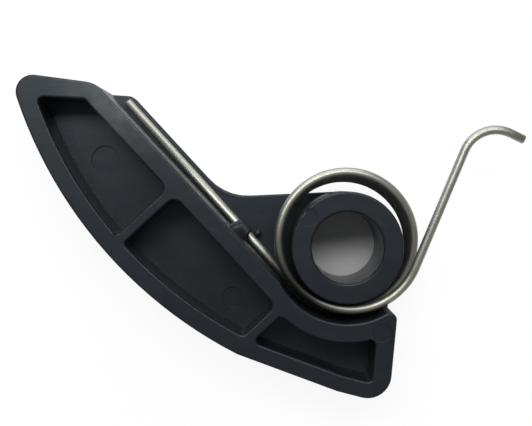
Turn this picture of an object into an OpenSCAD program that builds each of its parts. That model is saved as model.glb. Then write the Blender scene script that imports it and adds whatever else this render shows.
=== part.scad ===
// Chain tensioner: a moulded slide rail on a pivot hub, with a wire torsion spring.
// The part lies on its back: Z is the hub's axis, z = 0 is the back face, lengths are in mm.

/* [Pivot hub] */
// Bore that turns on the pivot pin
bore_d = 16; // [10:0.5:18]
// Chamfer at the bore's front mouth
bore_chamfer = 0.4; // [0.2:0.1:0.8]
// Outside diameter of the hub
hub_d = 25; // [22:0.5:28]
// Height of the hub and of the rail
arm_h = 22; // [21:0.5:28]

/* [Torsion spring] */
// Diameter of the wire
wire_d = 2; // [1.4:0.1:2.2]
// Gap between the hub and the inside of the coil
coil_gap = 1.8; // [1.8:0.05:3]
// Whole turns of the coil
coil_turns = 4; // [3:1:4]
// Rise of the coil in one turn
coil_pitch = 3.7; // [2.2:0.1:3.8]
// Shift of the rearmost turn towards the rail
coil_back_shift = -0.1; // [-0.5:0.05:0.5]
// Lean of the front turn, to the right
coil_lean_x = 0; // [-0.4:0.05:0.4]
// Lean of the front turn, upwards
coil_lean_y = 1.9; // [0:0.05:1.9]
// How far the last stretch of the coil opens before the free leg
coil_flare = 1.2; // [1:0.05:2]
// Angle over which the coil opens
flare_span = 120; // [90:5:150]
// Length of the leg that lies along the rail
rail_leg_l = 59.5; // [40:0.1:62]
// Angle at which that leg leaves the rail's wall
rail_leg_toe = 0.5; // [0:0.1:1.5]
// Room between that leg and the plastic round it
leg_clear = 0.1; // [0.05:0.05:0.3]
// Direction of the free leg
free_leg_angle = 67.2; // [50:0.1:90]
// Straight length of the free leg
free_leg_l = 28.3; // [15:0.1:40]
// Radius of the hook at the free leg's end
hook_r = 7.6; // [4:0.1:12]
// Angle through which the hook bends
hook_bend = 93; // [45:1:140]
// Straight tail after the hook
hook_tail = 3.4; // [1:0.1:8]

/* [Slide rail] */
// Radius of the face that the chain slides on
slide_r = 99.2; // [95:0.1:104]
// Centre of that face, to the right of the hub's axis
slide_x = 20.6; // [19:0.1:23]
// Centre of that face, above the hub's axis
slide_y = 64.7; // [63:0.1:66]
// Angle at which the curved face ends, seen from its centre
slide_end = 242.9; // [240:0.1:244]
// Direction of the rail's inner wall
wall_angle = 132.7; // [131:0.1:134]
// Length of the rail's inner wall
wall_l = 64.9; // [62:0.1:68]
// Step from the line of that wall back to the round recess beside the coil
recess_step = 0.6; // [0.2:0.1:1.2]
// Direction of the edge across the rail's tip
tip_angle = 172.4; // [165:0.2:180]
// Rounding where that edge meets the slide face
tip_slide_r = 3.8; // [2:0.1:5]
// Rounding where that edge meets the inner wall
tip_wall_r = 5.9; // [3:0.1:8]
// Length of the straight run-out after the curved face
runout_l = 23.6; // [20:0.1:26]
// Direction of the run-out
runout_angle = -20.3; // [-23:0.1:-18]
// Direction of the foot's lower edge
foot_angle = -14.5; // [-17:0.1:-10]
// Rounding of the foot's corner
foot_r = 5.3; // [3:0.1:7]
// Lean of the edge from the hub down to the foot
side_lean = 5.5; // [3:0.1:8]
// Rounding of the ear beside the coil
ear_r = 1.6; // [1:0.1:2.2]

/* [Pockets] */
// Rim left round the pockets
rim_t = 4.2; // [3:0.1:5]
// Rim left at the rail's tip
tip_rim_t = 3.6; // [3:0.1:5]
// Rim left along the run-out and the foot's lower edge
foot_rim_t = 3.7; // [3:0.1:5]
// Thickness of the two ribs
rib_t = 2.3; // [1.5:0.1:3]
// Distance of the upper rib along the inner wall
upper_rib_u = 35.7; // [30:0.1:40]
// Distance of the lower rib along the inner wall
lower_rib_u = 0.2; // [-1:0.1:1.5]
// Direction of the edge of the pocket next to the tip
pocket_tip_angle = 178; // [170:0.5:182]
// Corner rounding on the inner wall's side
pocket_wall_r = 2.1; // [1:0.1:2.5]
// Corner rounding on the slide's side
pocket_slide_r = 1.1; // [0.5:0.1:1.5]
// Depth of the pockets in the front
front_pocket_h = 13; // [8:0.5:14]
// Web between the front pockets and the back pockets
web_t = 3; // [2:0.25:5]

/* [Back plate] */
// Thickness of the plate behind the spring
plate_t = 3; // [2:0.25:3.5]
// Width of the ledge that carries the rail leg
ledge_w = 3.4; // [3:0.1:5]
// Length of the ledge
ledge_l = 63.4; // [62:0.1:66]
// Direction of the ledge's end edge
ledge_end_angle = 176.5; // [170:0.1:180]
// Rounding of the ledge's end
ledge_end_r = 3; // [1.5:0.1:4]
// Fillet between the ledge and the edge to the hub
ledge_fillet_r = 12.5; // [8:0.5:16]
// Slope of the edge from the ledge to the hub
top_slope = 2.6; // [0:0.1:5]

/* [Spring clip] */
// Distance of the clip along the inner wall
clip_u = 18.9; // [18:0.1:30]
// Length of the clip at the wall
clip_root_l = 5.4; // [4.5:0.1:9]
// Length of the clip at its tip
clip_tip_l = 3.4; // [2.5:0.1:4.5]
// Reach of the clip over the rail leg
clip_reach = 2.8; // [2:0.1:3.2]
// Thickness of the clip
clip_t = 3.6; // [2:0.1:5]
// Distance of the retaining peg along the inner wall
peg_u = 15.4; // [13:0.1:15.4]
// Diameter of the retaining peg
peg_d = 1.6; // [1.2:0.1:2]
// Height of the retaining peg above the plate
peg_h = 1.8; // [1.4:0.1:3]
// Radius of the peg's domed end
peg_dome_r = 1.1; // [1.05:0.05:2]

/* [Ejector marks] */
// Depth of the marks on the hub and on the ear
face_mark_depth = 0.2; // [0.1:0.05:0.4]
// Diameter of those two marks
face_mark_d = 4; // [2:0.1:4.4]
// Depth of the marks in the pockets
pocket_mark_depth = 0.4; // [0.1:0.05:0.8]
// Diameter of the mark in the tip pocket
tip_mark_d = 6.4; // [3:0.1:7]
// Diameter of the mark in the middle pocket
middle_mark_d = 4.8; // [3:0.1:7]
// Angle of the mark on the hub
hub_mark_angle = 142; // [0:1:360]
// Distance of that mark from the hub's outside
hub_mark_gap = 1.5; // [1:0.1:2.5]
// Distance of the ear's mark from the recess
ear_mark_gap = 3.4; // [2.5:0.1:4]
// Angle from the ear to its mark, seen from the hub's axis
ear_mark_turn = 8.3; // [6:0.1:12]
// Distance of the tip pocket's mark along the inner wall
tip_mark_u = 52.4; // [44:0.1:56]
// Distance of the middle pocket's mark along the inner wall
middle_mark_u = 8.6; // [6:0.1:28]
// Distance of those two marks from the pockets' inner wall
pocket_mark_v = 7; // [4:0.1:9]

/* [Hidden] */

// Steps along round stretches of the outlines, and along and round the wire
arc_step = 2;
fillet_step = 10;
coil_step = 10;
wire_sides = 10;
// Overlap of plastic that is moulded as one, and the reach of cuts past a face
weld = 2;
tuck = 0.1;
past = 1;
$fn = 96;

hub_r = hub_d / 2;
bore_r = bore_d / 2;
wire_r = wire_d / 2;
coil_r = hub_r + coil_gap + wire_r;

// The rail leg lies at a tangent to the rearmost turn, and the rail's wall stands beside it
leg_dir = wall_angle - rail_leg_toe;
wall_dist = coil_r + coil_back_shift + wire_r + leg_clear;
recess_r = wall_dist + recess_step;
leg_z = plate_t + leg_clear + wire_r;
clip_z = leg_z + wire_r + leg_clear;
ledge_dist = wall_dist - ledge_w;

function unit(a) = [cos(a), sin(a)];
function angle_of(v) = atan2(v.y, v.x);
function flat(p) = [p.x, p.y];

// Points on an arc about c, from angle a to angle b
function arc(c, r, a, b, step = arc_step) =
    let (n = max(1, ceil(abs(b - a) / step)))
    [for (i = [0:n]) c + r * unit(a + (b - a) * i / n)];

// Meeting point of the line through p at angle a and the line through q at angle b
function meet(p, a, q, b) =
    let (d = unit(a), e = unit(b), w = q - p)
    p + d * (w.x * e.y - w.y * e.x) / (d.x * e.y - d.y * e.x);

// Far meeting point of the line through p at angle a and the circle about c
function meet_circle(p, a, c, r) =
    let (d = unit(a), w = p - c, b = w * d)
    p + d * (sqrt(b * b - w * w + r * r) - b);

function signed_turn(d) = d > 180 ? d - 360 : d < -180 ? d + 360 : d;

// Arc of radius r in the corner p between its neighbours a and b
function fillet(a, p, b, r) =
    let (
        u = (a - p) / norm(a - p),
        v = (b - p) / norm(b - p),
        half = acos(u * v) / 2,
        c = p + (u + v) / norm(u + v) * r / sin(half),
        start = angle_of(p + u * r / tan(half) - c),
        end = angle_of(p + v * r / tan(half) - c)
    )
    arc(c, r, start, start + signed_turn(end - start), fillet_step);

// Outline through points [x, y, r]: each corner with a radius r is rounded
function rounded(points) =
    let (n = len(points))
    [for (i = [0:n - 1])
        let (p = points[i], a = flat(points[(i + n - 1) % n]), b = flat(points[(i + 1) % n]))
        each p[2] > 0 ? fillet(a, flat(p), b, p[2]) : [flat(p)]];

function corner(p, r = 0) = [p.x, p.y, r];
function corners(points) = [for (p = points) corner(p)];

// A point of the rail: u along its inner wall from the coil, v away from the hub's axis
function on_rail(u, v) = v * unit(wall_angle + 90) + u * unit(wall_angle);

// Lines of the outline, each known by a point and by its direction
slide_c = [slide_x, slide_y];
wall_foot = on_rail(sqrt(recess_r ^ 2 - wall_dist ^ 2), wall_dist);
recess_start = angle_of(wall_foot) + 360;
side_dir = -90 - side_lean;
side_p = (hub_r - tuck) * unit(-side_lean);
tip_p = on_rail(wall_l, wall_dist);
runout_p = slide_c + slide_r * unit(slide_end);
foot_p = runout_p + runout_l * unit(runout_angle);
foot_corner = meet(foot_p, foot_angle, side_p, side_dir);

// The ear is tangent to the round recess and to the edge at the side
ear_x = hub_r - tuck - ear_r;
ear_c = ear_x * unit(-side_lean) + sqrt((recess_r + ear_r) ^ 2 - ear_x ^ 2) * unit(side_dir);
ear_angle = angle_of(ear_c) + 360;

// The round at the tip is tangent to the slide face and to the tip's edge
tip_side = tip_p - tip_slide_r * unit(tip_angle - 90);
tip_c = meet_circle(tip_side, tip_angle, slide_c, slide_r - tip_slide_r);
tip_end = angle_of(tip_c - slide_c) + 360;

rail_outline = concat(
    fillet(tip_c + tip_slide_r * unit(tip_angle - 90), tip_p, wall_foot, tip_wall_r),
    arc([0, 0], recess_r, recess_start, ear_angle),
    arc(ear_c, ear_r, ear_angle - 180, -side_lean, fillet_step),
    fillet(side_p, foot_corner, foot_p, foot_r),
    [foot_p],
    arc(slide_c, slide_r, slide_end, tip_end),
    arc(tip_c, tip_slide_r, tip_end, tip_angle - 90, fillet_step)
);

// Lines of the pockets, inside the rim
pocket_v = wall_dist + rim_t;
pocket_slide = slide_r - rim_t;
pocket_recess = recess_r + rim_t;
pocket_tip = tip_p - tip_rim_t * unit(tip_angle - 90);
pocket_side = side_p - rim_t * unit(-side_lean);
pocket_runout = runout_p + foot_rim_t * unit(runout_angle + 90);
pocket_foot = foot_p + foot_rim_t * unit(foot_angle + 90);
rib_dir = wall_angle + 90;

function rib_on_wall(u) = on_rail(u, pocket_v);
function rib_on_slide(u) = meet_circle(on_rail(u, pocket_v), rib_dir, slide_c, pocket_slide);
function slide_between(p, q) = arc(slide_c, pocket_slide, angle_of(p - slide_c), angle_of(q - slide_c));
function inner(points) = [for (i = [1:len(points) - 2]) points[i]];

function tip_pocket() =
    let (
        rib_u = upper_rib_u + rib_t / 2,
        wall_end = meet(pocket_tip, pocket_tip_angle, on_rail(0, pocket_v), wall_angle),
        slide_top = meet_circle(wall_end, pocket_tip_angle, slide_c, pocket_slide),
        slide_low = rib_on_slide(rib_u)
    )
    rounded(concat(
        [corner(rib_on_wall(rib_u), pocket_wall_r), corner(wall_end, pocket_slide_r)],
        [corner(slide_top, pocket_slide_r)],
        corners(inner(slide_between(slide_top, slide_low))),
        [corner(slide_low, pocket_slide_r)]
    ));

function middle_pocket() =
    let (
        low_u = lower_rib_u + rib_t / 2,
        high_u = upper_rib_u - rib_t / 2,
        slide_top = rib_on_slide(high_u),
        slide_low = rib_on_slide(low_u)
    )
    rounded(concat(
        [corner(rib_on_wall(low_u), pocket_wall_r), corner(rib_on_wall(high_u), pocket_wall_r)],
        [corner(slide_top, pocket_slide_r)],
        corners(inner(slide_between(slide_top, slide_low))),
        [corner(slide_low, pocket_slide_r)]
    ));

function foot_pocket() =
    let (
        rib_u = lower_rib_u - rib_t / 2,
        rib_start = on_rail(rib_u, pocket_v),
        rib_low = meet(rib_start, rib_dir, pocket_runout, runout_angle),
        bend = meet(pocket_runout, runout_angle, pocket_foot, foot_angle),
        low = meet(pocket_foot, foot_angle, pocket_side, side_dir),
        high = meet_circle(pocket_side, side_dir, [0, 0], pocket_recess),
        rib_high = meet_circle(on_rail(rib_u, 0), rib_dir, [0, 0], pocket_recess),
        recess = arc([0, 0], pocket_recess, angle_of(high), angle_of(rib_high), 3 * arc_step)
    )
    rounded(concat(
        [corner(rib_high, pocket_slide_r), corner(rib_low, pocket_slide_r), corner(bend)],
        [corner(low, pocket_slide_r), corner(high, pocket_slide_r)],
        corners(inner(recess))
    ));

// Plate behind the spring: it joins the hub, the ledge and the rail
top_p = (hub_r - tuck) * unit(90 + top_slope);
ledge_end_p = on_rail(ledge_l, wall_dist);
plate_outline = rounded(concat(
    [corner([0, 0]), corner(top_p)],
    [corner(meet(top_p, top_slope, on_rail(0, ledge_dist), wall_angle), ledge_fillet_r)],
    [corner(meet(ledge_end_p, ledge_end_angle, on_rail(0, ledge_dist), wall_angle), ledge_end_r)],
    [corner(meet(ledge_end_p, ledge_end_angle, on_rail(0, wall_dist + weld), wall_angle))],
    corners(arc([0, 0], recess_r + weld, wall_angle + 90, ear_angle, 3 * arc_step)),
    [corner(ear_c + ear_r * unit(-side_lean)), corner(side_p)]
));

module prism(outline, z, h) {
    translate([0, 0, z])
        linear_extrude(h)
            polygon(outline);
}

module pockets(z, h) {
    prism(tip_pocket(), z, h);
    prism(middle_pocket(), z, h);
    prism(foot_pocket(), z, h);
}

// Tab on the rail's wall, over the rail leg
module clip() {
    tip_dist = wall_dist - clip_reach;
    outline = [
        on_rail(clip_u - clip_root_l / 2, wall_dist + weld),
        on_rail(clip_u - clip_root_l / 2, wall_dist),
        on_rail(clip_u - clip_tip_l / 2, tip_dist),
        on_rail(clip_u + clip_tip_l / 2, tip_dist),
        on_rail(clip_u + clip_root_l / 2, wall_dist),
        on_rail(clip_u + clip_root_l / 2, wall_dist + weld)
    ];
    prism(outline, clip_z, clip_t);
}

// Peg with a domed end, on the open side of the rail leg
module peg() {
    leg_v = (coil_r + coil_back_shift) * cos(rail_leg_toe) - peg_u * sin(rail_leg_toe);
    at = on_rail(peg_u, leg_v - wire_r - leg_clear - peg_d / 2);
    shoulder = peg_h - peg_dome_r + sqrt(peg_dome_r ^ 2 - (peg_d / 2) ^ 2);
    translate([at.x, at.y, plate_t]) {
        translate([0, 0, -tuck])
            cylinder(d = peg_d, h = shoulder + tuck);
        intersection() {
            cylinder(d = peg_d, h = peg_h);
            translate([0, 0, peg_h - peg_dome_r])
                sphere(r = peg_dome_r);
        }
    }
}

module mark(at, z, d, depth) {
    translate([at.x, at.y, z - depth])
        cylinder(d = d, h = depth + past);
}

module face_mark(at) {
    mark(at, arm_h, face_mark_d, face_mark_depth);
}

module pocket_mark(u, d) {
    mark(on_rail(u, pocket_v + pocket_mark_v), arm_h - front_pocket_h, d, pocket_mark_depth);
}

module ejector_marks() {
    face_mark((hub_r - hub_mark_gap) * unit(hub_mark_angle));
    face_mark((recess_r + ear_mark_gap) * unit(ear_angle - ear_mark_turn));
    pocket_mark(tip_mark_u, tip_mark_d);
    pocket_mark(middle_mark_u, middle_mark_d);
}

module bore() {
    translate([0, 0, -past])
        cylinder(r = bore_r, h = arm_h + 2 * past);
    translate([0, 0, arm_h - bore_chamfer])
        cylinder(r1 = bore_r, r2 = bore_r + bore_chamfer + past, h = bore_chamfer + past);
}

module tensioner_arm() {
    web_z = arm_h - front_pocket_h - web_t;
    color("#26282c")
        difference() {
            union() {
                prism(rail_outline, 0, arm_h);
                prism(plate_outline, 0, plate_t);
                cylinder(r = hub_r, h = arm_h);
                clip();
                peg();
            }
            pockets(arm_h - front_pocket_h, front_pocket_h + past);
            pockets(-past, web_z + past);
            ejector_marks();
            bore();
        }
}

// Path of the wire: rail leg, coil, free leg and hook
coil_start = leg_dir + 90;
coil_sweep = 360 * coil_turns + free_leg_angle + 270 - coil_start;
coil_back = coil_back_shift * unit(coil_start);
coil_front = [coil_lean_x, coil_lean_y];
free_z = leg_z + coil_pitch * coil_sweep / 360;

function at_height(points, z) = [for (p = points) [p.x, p.y, z]];
function smooth(t) = t <= 0 ? 0 : t >= 1 ? 1 : t * t * (3 - 2 * t);

function coil_point(a) =
    let (
        share = a / coil_sweep,
        centre = coil_back + (coil_front - coil_back) * share,
        r = coil_r + coil_flare * smooth((a - coil_sweep + flare_span) / flare_span),
        p = centre + r * unit(coil_start + a)
    )
    [p.x, p.y, leg_z + coil_pitch * a / 360];

coil_rings = ceil(coil_sweep / coil_step);
coil_path = [for (i = [0:coil_rings]) coil_point(coil_sweep * i / coil_rings)];
free_start = flat(coil_path[coil_rings]);
hook_start = free_start + free_leg_l * unit(free_leg_angle);
hook_c = hook_start + hook_r * unit(free_leg_angle - 90);
hook_arc = arc(hook_c, hook_r, free_leg_angle + 90, free_leg_angle + 90 - hook_bend, coil_step);
hook_end = hook_arc[len(hook_arc) - 1] + hook_tail * unit(free_leg_angle - hook_bend);
leg_tip = flat(coil_path[0]) + rail_leg_l * unit(leg_dir);

wire_path = concat(
    at_height([leg_tip], leg_z),
    coil_path,
    at_height(hook_arc, free_z),
    at_height([hook_end], free_z)
);

// Unit vector from a to b, or nothing where they are one point
function heading(a, b) = norm(b - a) > 0 ? (b - a) / norm(b - a) : [0, 0, 0];

// Round wire swept along a path
module wire(path) {
    last = len(path) - 1;
    rings = [for (i = [0:last])
        let (
            ahead = heading(path[i], path[min(i + 1, last)]),
            behind = heading(path[max(i - 1, 0)], path[i]),
            along = ahead + behind,
            side = heading([0, 0, 0], cross(along, [0, 0, 1])),
            up = heading([0, 0, 0], cross(side, along))
        )
        each [for (k = [0:wire_sides - 1])
            let (a = 360 * k / wire_sides)
            path[i] + wire_r * (cos(a) * side + sin(a) * up)]];
    walls = [for (i = [0:last - 1], k = [0:wire_sides - 1])
        let (n = (k + 1) % wire_sides, a = i * wire_sides, b = a + wire_sides)
        [a + k, a + n, b + n, b + k]];
    start_cap = [for (k = [0:wire_sides - 1]) wire_sides - 1 - k];
    end_cap = [for (k = [0:wire_sides - 1]) last * wire_sides + k];
    polyhedron(rings, concat([start_cap], walls, [end_cap]));
}

module torsion_spring() {
    color("#a9a690")
        wire(wire_path);
}

tensioner_arm();
torsion_spring();
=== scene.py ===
"""Looks of a chain tensioner: a moulded arm and its wire torsion spring, seen from straight above."""

import math

import bmesh
import bpy
from mathutils import Matrix, Vector


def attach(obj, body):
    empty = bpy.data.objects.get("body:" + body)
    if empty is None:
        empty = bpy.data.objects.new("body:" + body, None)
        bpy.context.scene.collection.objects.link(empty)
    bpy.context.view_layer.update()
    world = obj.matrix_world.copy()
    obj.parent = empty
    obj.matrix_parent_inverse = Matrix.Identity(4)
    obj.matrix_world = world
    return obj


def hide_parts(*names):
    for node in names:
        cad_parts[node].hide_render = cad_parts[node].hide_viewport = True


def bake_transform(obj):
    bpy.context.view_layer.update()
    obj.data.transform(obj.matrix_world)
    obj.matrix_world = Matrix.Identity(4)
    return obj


MM = 0.001

# Size of the picture, in pixels
PHOTO_W = 532
PHOTO_H = 426

# Camera: it looks straight down from this point, and the photo's axis isn't at its centre
CAMERA_MM = (-18.16, 13.95, 255.7)
AXIS_PX = (266, 185)
FOCAL_PX = 1055
SENSOR_MM = 36

# Rounding of the moulding's outer edges, in mm and steps: less on walls lower than FINE_WALL
EDGE_R = 0.45
EDGE_STEPS = 4
FINE_R = 0.08
FINE_WALL = 0.55

# An edge is sharp from this angle on, and faces are joined below the planar angle, in degrees
SHARP_ANGLE = 30
PLANAR_ANGLE = 0.2

# A face is level where its normal's height is above this
LEVEL_NORMAL = 0.99

# Points this close are joined, in mm
MERGE_MM = 0.002

# Torsion spring, in mm and degrees, as the solid has it
WIRE_R = 1
COIL_R = 15.3
COIL_TURNS = 4
COIL_PITCH = 3.7
COIL_BACK_SHIFT = -0.1
COIL_LEAN = (0, 1.9)
COIL_FLARE = 1.2
FLARE_SPAN = 120
LEG_Z = 4.1
RAIL_LEG_ANGLE = 132.2
RAIL_LEG_L = 59.5
FREE_LEG_ANGLE = 67.2
FREE_LEG_L = 28.3
HOOK_R = 7.6
HOOK_BEND = 93
HOOK_TAIL = 3.4
END_CHAMFER = 0.18

# Sides of the swept wire, degrees between its rings in a bend, and its map: length in mm and girth
WIRE_SIDES = 24
COIL_STEP = 3
WIRE_UV = "along"

# Colours, and the tint of the plastic's shine
PLASTIC_DARK = (0.011, 0.0142, 0.0188)
PLASTIC_PALE = (0.0154, 0.019, 0.0243)
# Pale colour of the rail's tip: painted sheen, with some scuffing
PLASTIC_SHEEN_AND_SCUFFS = (0.1, 0.108, 0.112)
PLASTIC_SHINE = (0.8, 0.91, 1, 1)
STEEL_DARK = (0.44, 0.44, 0.385)
STEEL_PALE = (0.53, 0.532, 0.47)
# Near-black colour of the painted shade on the wire's front turn
STEEL_PAINTED_SHADE = (0.06, 0.061, 0.055)

# Flow marks in the plastic: their texture is drawn out along X and then turned, in degrees
FLOW_SCALE = (0.35, 1, 1)
FLOW_TURN = -132.7

# Drawn lines and stains on the wire: so many to a mm of its length, and so many round it
LINES_SCALE = (0.04, 14, 1)
STAINS_SCALE = (0.22, 3, 1)

# Pale tip of the rail, painted sheen with some scuffing, in mm: middle of the patch, and where it starts
# and ends to fade
SHEEN_SCUFF_AT = (-50, 34.5, 22)
SHEEN_SCUFF_INNER = 5
SHEEN_SCUFF_OUTER = 17

# Painted shade on a stretch of the front turn, beside the hub: its middle on the wire's map, from the rail
# leg's end, and its fade in mm
PAINTED_SHADE_AT = (446, 0.5, 0)
PAINTED_SHADE_INNER = 3
PAINTED_SHADE_OUTER = 19

# Floor's colour for light and for reflections. The camera sees a white glow with a little of the shade,
# and plain paper inside the bore.
FLOOR_LIT = (0.8, 0.8, 0.8)
FLOOR_MIRRORED = (1, 1, 1)
FLOOR_SHADE = (0.17, 0.17, 0.17)
FLOOR_GLOW = 0.9
FLOOR_IN_BORE = (0.8, 0.8, 0.8)

# Half the floor's width, in m
FLOOR_HALF = 1.5

# Circle on the floor that is seen only through the bore, in mm
BORE_VIEW_R = 9

# Point that the lamps face, in m
LAMPS_AT = (-0.015, 0, 0.01)


def unit(angle):
    """Unit vector in the plane of the arm's face, at an angle in degrees."""
    a = math.radians(angle)
    return Vector((math.cos(a), math.sin(a)))


def smooth(t):
    """Eases from 0 to 1."""
    t = min(max(t, 0), 1)
    return t * t * (3 - 2 * t)


# Materials


class Nodes:
    """A new material's node tree, with short calls to add and join nodes."""

    def __init__(self, name):
        self.material = bpy.data.materials.new(name)
        self.material.use_nodes = True
        self.tree = self.material.node_tree
        self.tree.nodes.clear()

    def add(self, kind, **settings):
        """Adds a node. A setting is one of its properties, or else one of its inputs by name."""
        node = self.tree.nodes.new(kind)
        for key, value in settings.items():
            if hasattr(node, key):
                setattr(node, key, value)
            else:
                node.inputs[key.replace("_", " ")].default_value = value
        return node

    def join(self, source, target):
        self.tree.links.new(source, target)


def noise(nodes, vector, scale, detail, roughness=0.5):
    """Cloudy texture, from 0 to 1."""
    node = nodes.add("ShaderNodeTexNoise", Scale=scale, Detail=detail, Roughness=roughness)
    nodes.join(vector, node.inputs["Vector"])
    return node.outputs["Fac"]


def spread(nodes, value, low, high, start=0.3, end=0.7):
    """Value that goes from low to high while the given one goes from start to end."""
    node = nodes.add("ShaderNodeMapRange")
    for name, number in (("From Min", start), ("From Max", end), ("To Min", low), ("To Max", high)):
        node.inputs[name].default_value = number
    nodes.join(value, node.inputs["Value"])
    return node.outputs["Result"]


def blend_colours(nodes, factor, first, second):
    """Mix of two colours, each given as numbers or as a socket."""
    node = nodes.add("ShaderNodeMix", data_type="RGBA")
    sockets = [s for s in node.inputs if s.type == "RGBA"]
    for socket, colour in zip(sockets, (first, second)):
        if isinstance(colour, bpy.types.NodeSocket):
            nodes.join(colour, socket)
        else:
            socket.default_value = (*colour, 1)
    nodes.join(factor, node.inputs["Factor"])
    return next(s for s in node.outputs if s.type == "RGBA")


def stretched(nodes, vector, scale, turn=0):
    """Texture coordinates that are scaled and then turned by an angle in degrees."""
    node = nodes.add("ShaderNodeMapping", Rotation=(0, 0, math.radians(turn)), Scale=scale)
    nodes.join(vector, node.inputs["Vector"])
    return node.outputs["Vector"]


def calculated(nodes, operation, first, second):
    """Result of a calculation on two sockets."""
    node = nodes.add("ShaderNodeMath", operation=operation)
    nodes.join(first, node.inputs[0])
    nodes.join(second, node.inputs[1])
    return node.outputs[0]


def bump(nodes, height, strength, distance):
    """Normal of a surface that follows a height."""
    node = nodes.add("ShaderNodeBump", Strength=strength, Distance=distance)
    nodes.join(height, node.inputs["Height"])
    return node.outputs["Normal"]


def finish_material(nodes, shader):
    """The material, with this shader as its surface."""
    output = nodes.add("ShaderNodeOutputMaterial")
    nodes.join(shader.outputs[0], output.inputs["Surface"])
    return nodes.material


def nearness(nodes, place, middle, inner, outer):
    """Mask that is 1 within the inner distance of a place and fades to 0 at the outer one."""
    far = nodes.add("ShaderNodeVectorMath", operation="DISTANCE")
    nodes.join(place, far.inputs[0])
    far.inputs[1].default_value = middle
    return spread(nodes, far.outputs["Value"], low=1, high=0, start=inner, end=outer)


def sheen_and_scuff_mask(nodes, place):
    """Patchy mask round the rail's tip, for its painted sheen and scuffing."""
    near = nearness(nodes, place, Vector(SHEEN_SCUFF_AT) * MM, SHEEN_SCUFF_INNER * MM, SHEEN_SCUFF_OUTER * MM)
    cloud = noise(nodes, place, scale=240, detail=5, roughness=0.6)
    return calculated(nodes, "MULTIPLY", near, spread(nodes, cloud, low=0.25, high=1))


def plastic():
    """Black moulded plastic: faint mottling and flow marks, and a pale tip of painted sheen with some
    scuffing.
    """
    nodes = Nodes("moulded_plastic")
    place = nodes.add("ShaderNodeTexCoord").outputs["Object"]
    along = stretched(nodes, place, FLOW_SCALE, turn=FLOW_TURN)
    mottle = noise(nodes, place, scale=160, detail=3)
    flow = noise(nodes, along, scale=260, detail=4, roughness=0.6)
    shader = nodes.add("ShaderNodeBsdfPrincipled", Specular_IOR_Level=0.5, Specular_Tint=PLASTIC_SHINE)
    colour = blend_colours(nodes, spread(nodes, mottle, low=0, high=1), PLASTIC_DARK, PLASTIC_PALE)
    # The rail's tip is paled: painted sheen, with some scuffing
    sheen_and_scuff_colour = blend_colours(nodes, sheen_and_scuff_mask(nodes, place), colour, PLASTIC_SHEEN_AND_SCUFFS)
    nodes.join(sheen_and_scuff_colour, shader.inputs["Base Color"])
    nodes.join(spread(nodes, flow, low=0.3, high=0.38), shader.inputs["Roughness"])
    nodes.join(bump(nodes, flow, strength=0.05, distance=0.0006), shader.inputs["Normal"])
    return finish_material(nodes, shader)


def wire_steel():
    """Drawn spring steel: fine lines along the wire, a faint olive tint, and painted shade on a stretch of
    the front turn.
    """
    nodes = Nodes("spring_wire")
    uv = nodes.add("ShaderNodeTexCoord").outputs["UV"]
    lines = noise(nodes, stretched(nodes, uv, LINES_SCALE), scale=1, detail=3)
    stains = noise(nodes, stretched(nodes, uv, STAINS_SCALE), scale=1, detail=4)
    shader = nodes.add("ShaderNodeBsdfPrincipled", Metallic=1, Anisotropic=0.7, Anisotropic_Rotation=0.25)
    along = nodes.add("ShaderNodeTangent", direction_type="UV_MAP", uv_map=WIRE_UV)
    nodes.join(along.outputs["Tangent"], shader.inputs["Tangent"])
    colour = blend_colours(nodes, spread(nodes, stains, low=0, high=1), STEEL_DARK, STEEL_PALE)
    # Painted shade darkens a stretch of the front turn beside the hub
    painted_shade = nearness(nodes, uv, PAINTED_SHADE_AT, PAINTED_SHADE_INNER, PAINTED_SHADE_OUTER)
    nodes.join(blend_colours(nodes, painted_shade, colour, STEEL_PAINTED_SHADE), shader.inputs["Base Color"])
    nodes.join(spread(nodes, lines, low=0.34, high=0.4), shader.inputs["Roughness"])
    nodes.join(bump(nodes, lines, strength=0.03, distance=0.00003), shader.inputs["Normal"])
    return finish_material(nodes, shader)


def floor_white():
    """Pale floor that the camera sees as white, apart from shade and through the bore.

    It is clear from below.
    """
    nodes = Nodes("floor_white")
    rays = nodes.add("ShaderNodeLightPath").outputs
    mirrored = calculated(nodes, "MAXIMUM", rays["Is Glossy Ray"], rays["Is Transmission Ray"])
    from_axis = nodes.add("ShaderNodeVectorMath", operation="LENGTH")
    nodes.join(nodes.add("ShaderNodeTexCoord").outputs["Object"], from_axis.inputs[0])
    outside = nodes.add("ShaderNodeMath", operation="GREATER_THAN")
    outside.inputs[1].default_value = BORE_VIEW_R * MM
    nodes.join(from_axis.outputs["Value"], outside.inputs[0])
    seen = blend_colours(nodes, outside.outputs[0], FLOOR_IN_BORE, FLOOR_SHADE)
    unseen = blend_colours(nodes, mirrored, FLOOR_LIT, FLOOR_MIRRORED)
    colour = blend_colours(nodes, rays["Is Camera Ray"], unseen, seen)
    diffuse = nodes.add("ShaderNodeBsdfDiffuse")
    nodes.join(colour, diffuse.inputs["Color"])
    white = calculated(nodes, "MULTIPLY", rays["Is Camera Ray"], outside.outputs[0])
    glow = nodes.add("ShaderNodeEmission")
    nodes.join(spread(nodes, white, low=0, high=FLOOR_GLOW, start=0, end=1), glow.inputs["Strength"])
    paper = nodes.add("ShaderNodeAddShader")
    nodes.join(diffuse.outputs[0], paper.inputs[0])
    nodes.join(glow.outputs[0], paper.inputs[1])
    clear = nodes.add("ShaderNodeBsdfTransparent")
    side = nodes.add("ShaderNodeMixShader")
    nodes.join(nodes.add("ShaderNodeNewGeometry").outputs["Backfacing"], side.inputs["Fac"])
    nodes.join(paper.outputs[0], side.inputs[1])
    nodes.join(clear.outputs[0], side.inputs[2])
    return finish_material(nodes, side)


# Moulded arm


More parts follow.
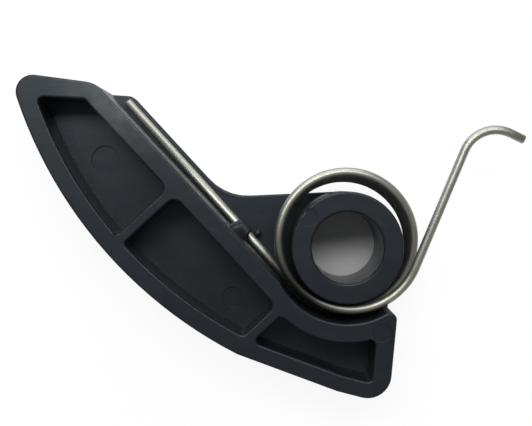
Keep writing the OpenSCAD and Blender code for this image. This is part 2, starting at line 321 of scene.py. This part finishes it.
def wall_height(face):
    """Height of a face that stands, in metres, or none for a level face."""
    if abs(face.normal.z) > LEVEL_NORMAL:
        return None
    heights = [v.co.z for v in face.verts]
    return max(heights) - min(heights)


def edge_rounding(edge):
    """Radius in mm to which the moulding's edge is rounded, or 0."""
    if not edge.is_convex or edge.calc_face_angle() < math.radians(SHARP_ANGLE):
        return 0
    heights = [h for h in map(wall_height, edge.link_faces) if h is not None]
    if heights and min(heights) < FINE_WALL * MM:
        return FINE_R
    return EDGE_R


def moulded_arm(node):
    """The arm's solid with rounded edges, as a new piece."""
    mesh = node.data.copy()
    shape = bmesh.new()
    shape.from_mesh(mesh)
    bmesh.ops.remove_doubles(shape, verts=shape.verts, dist=MERGE_MM * MM)
    bmesh.ops.dissolve_limit(
        shape, angle_limit=math.radians(PLANAR_ANGLE), verts=shape.verts, edges=shape.edges
    )
    shape.normal_update()
    weight = shape.edges.layers.float.new("bevel_weight_edge")
    for edge in shape.edges:
        edge[weight] = edge_rounding(edge) / EDGE_R
        edge.smooth = edge.is_convex or edge.calc_face_angle() < math.radians(SHARP_ANGLE)
    for face in shape.faces:
        face.smooth = True
    shape.to_mesh(mesh)
    shape.free()
    arm = bpy.data.objects.new("arm_moulding", mesh)
    bpy.context.scene.collection.objects.link(arm)
    bevel = arm.modifiers.new("rounded_edges", "BEVEL")
    bevel.limit_method = "WEIGHT"
    bevel.width = EDGE_R * MM
    bevel.segments = EDGE_STEPS
    bevel.use_clamp_overlap = False
    weld = arm.modifiers.new("joined_points", "WELD")
    weld.merge_threshold = MERGE_MM * MM
    normals = arm.modifiers.new("even_shading", "WEIGHTED_NORMAL")
    normals.weight = 100
    normals.keep_sharp = True
    return arm


# Torsion spring


def wire_path():
    """Points of the wire's centreline in mm: rail leg, coil, free leg and hook."""
    start = RAIL_LEG_ANGLE + 90
    sweep = 360 * COIL_TURNS + FREE_LEG_ANGLE + 270 - start
    back = COIL_BACK_SHIFT * unit(start)
    front = Vector(COIL_LEAN)
    steps = math.ceil(sweep / COIL_STEP)
    coil = []
    for i in range(steps + 1):
        a = sweep * i / steps
        centre = back.lerp(front, i / steps)
        r = COIL_R + COIL_FLARE * smooth((a - sweep + FLARE_SPAN) / FLARE_SPAN)
        coil.append((*(centre + r * unit(start + a)), LEG_Z + COIL_PITCH * a / 360))
    coil = [Vector(p) for p in coil]
    leg = Vector((*unit(RAIL_LEG_ANGLE), 0))
    free = Vector((*unit(FREE_LEG_ANGLE), 0))
    side = Vector((*unit(FREE_LEG_ANGLE - 90), 0))
    hook_start = coil[-1] + FREE_LEG_L * free
    hook_centre = hook_start + HOOK_R * side
    turns = math.ceil(HOOK_BEND / COIL_STEP)
    hook = []
    for i in range(turns + 1):
        turned = unit(FREE_LEG_ANGLE + 90 - HOOK_BEND * i / turns)
        hook.append(hook_centre + HOOK_R * Vector((*turned, 0)))
    tail = Vector((*unit(FREE_LEG_ANGLE - HOOK_BEND), 0))
    path = [coil[0] + RAIL_LEG_L * leg, *coil, *hook, hook[-1] + HOOK_TAIL * tail]
    first = END_CHAMFER * (path[1] - path[0]).normalized()
    last = END_CHAMFER * (path[-2] - path[-1]).normalized()
    return [path[0], path[0] + first, *path[1:-1], path[-1] + last, path[-1]]


def wire_spring():
    """Round wire swept along its path, with chamfered ends."""
    path = wire_path()
    shape = bmesh.new()
    uv = shape.loops.layers.uv.new(WIRE_UV)
    rings = []
    travelled = [0]
    for i, point in enumerate(path):
        ahead = path[min(i + 1, len(path) - 1)] - point
        behind = point - path[max(i - 1, 0)]
        heading = (ahead.normalized() + behind.normalized()).normalized()
        side = heading.cross(Vector((0, 0, 1))).normalized()
        up = side.cross(heading)
        radius = WIRE_R - END_CHAMFER if i in (0, len(path) - 1) else WIRE_R
        ring = []
        for k in range(WIRE_SIDES):
            turn = 2 * math.pi * k / WIRE_SIDES
            outward = math.cos(turn) * side + math.sin(turn) * up
            ring.append(shape.verts.new((point + radius * outward) * MM))
        rings.append(ring)
        if i:
            travelled.append(travelled[-1] + behind.length)
    for i in range(len(rings) - 1):
        for k in range(WIRE_SIDES):
            n = (k + 1) % WIRE_SIDES
            face = shape.faces.new((rings[i][k], rings[i][n], rings[i + 1][n], rings[i + 1][k]))
            places = ((i, k), (i, k + 1), (i + 1, k + 1), (i + 1, k))
            for loop, (j, turn) in zip(face.loops, places):
                loop[uv].uv = (travelled[j], turn / WIRE_SIDES)
            face.smooth = 0 < i < len(rings) - 2
    shape.faces.new(reversed(rings[0]))
    shape.faces.new(rings[-1])
    bmesh.ops.recalc_face_normals(shape, faces=shape.faces)
    mesh = bpy.data.meshes.new("wire_spring")
    shape.to_mesh(mesh)
    shape.free()
    spring = bpy.data.objects.new("wire_spring", mesh)
    bpy.context.scene.collection.objects.link(spring)
    return spring


# Stage


def studio_floor():
    """Square floor that the object lies on."""
    mesh = bpy.data.meshes.new("studio_floor")
    corners = [(x * FLOOR_HALF, y * FLOOR_HALF, 0) for x, y in ((-1, -1), (1, -1), (1, 1), (-1, 1))]
    mesh.from_pydata(corners, [], [(0, 1, 2, 3)])
    floor = bpy.data.objects.new("studio_floor", mesh)
    floor.data.materials.append(floor_white())
    bpy.context.scene.collection.objects.link(floor)


def soft_lamp(name, azimuth, elevation, distance, size, radiance):
    """Soft lamp that faces LAMPS_AT from an azimuth, counted from +X, and an elevation, in degrees."""
    data = bpy.data.lights.new(name, "AREA")
    data.shape = "RECTANGLE"
    data.size, data.size_y = size
    data.energy = radiance * math.pi * data.size * data.size_y
    lamp = bpy.data.objects.new(name, data)
    bpy.context.scene.collection.objects.link(lamp)
    flat = unit(azimuth) * math.cos(math.radians(elevation))
    away = Vector((flat.x, flat.y, math.sin(math.radians(elevation))))
    facing = away.to_track_quat("Z", "Y").to_matrix().to_4x4()
    lamp.matrix_world = Matrix.Translation(Vector(LAMPS_AT) + away * distance) @ facing


def world_light(level):
    """Even white light from all round."""
    world = bpy.data.worlds.new("studio")
    world.use_nodes = True
    background = world.node_tree.nodes["Background"]
    background.inputs["Color"].default_value = (1, 1, 1, 1)
    background.inputs["Strength"].default_value = level
    bpy.context.scene.world = world


def camera():
    """Camera with the photo's place, field of view and off-centre axis."""
    data = bpy.data.cameras.new("camera")
    data.sensor_width = SENSOR_MM
    data.lens = SENSOR_MM * FOCAL_PX / PHOTO_W
    data.shift_x = (PHOTO_W / 2 - AXIS_PX[0]) / PHOTO_W
    data.shift_y = (AXIS_PX[1] - PHOTO_H / 2) / PHOTO_W
    data.clip_start = 0.01
    eye = bpy.data.objects.new("camera", data)
    eye.location = Vector(CAMERA_MM) * MM
    bpy.context.scene.collection.objects.link(eye)
    bpy.context.scene.camera = eye


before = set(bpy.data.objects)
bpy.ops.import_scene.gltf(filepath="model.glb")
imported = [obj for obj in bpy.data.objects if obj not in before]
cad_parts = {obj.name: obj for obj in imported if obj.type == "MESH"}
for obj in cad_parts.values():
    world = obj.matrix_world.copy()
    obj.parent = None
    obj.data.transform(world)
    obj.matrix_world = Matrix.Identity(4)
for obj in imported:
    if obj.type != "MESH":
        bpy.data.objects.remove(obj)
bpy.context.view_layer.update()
bpy.context.scene.view_settings.view_transform = "Standard"

arm = moulded_arm(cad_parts["tensioner_arm"])
arm.data.materials.clear()
arm.data.materials.append(plastic())
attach(arm, "arm")
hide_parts("tensioner_arm")

spring = wire_spring()
spring.data.materials.append(wire_steel())
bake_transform(spring)
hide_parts("torsion_spring")

studio_floor()
world_light(level=0.22)
soft_lamp("key_strip", azimuth=98, elevation=67, distance=0.6, size=(0.5, 0.13), radiance=7.5)
soft_lamp("low_strip", azimuth=95, elevation=22, distance=0.6, size=(0.6, 0.26), radiance=2.4)
camera()
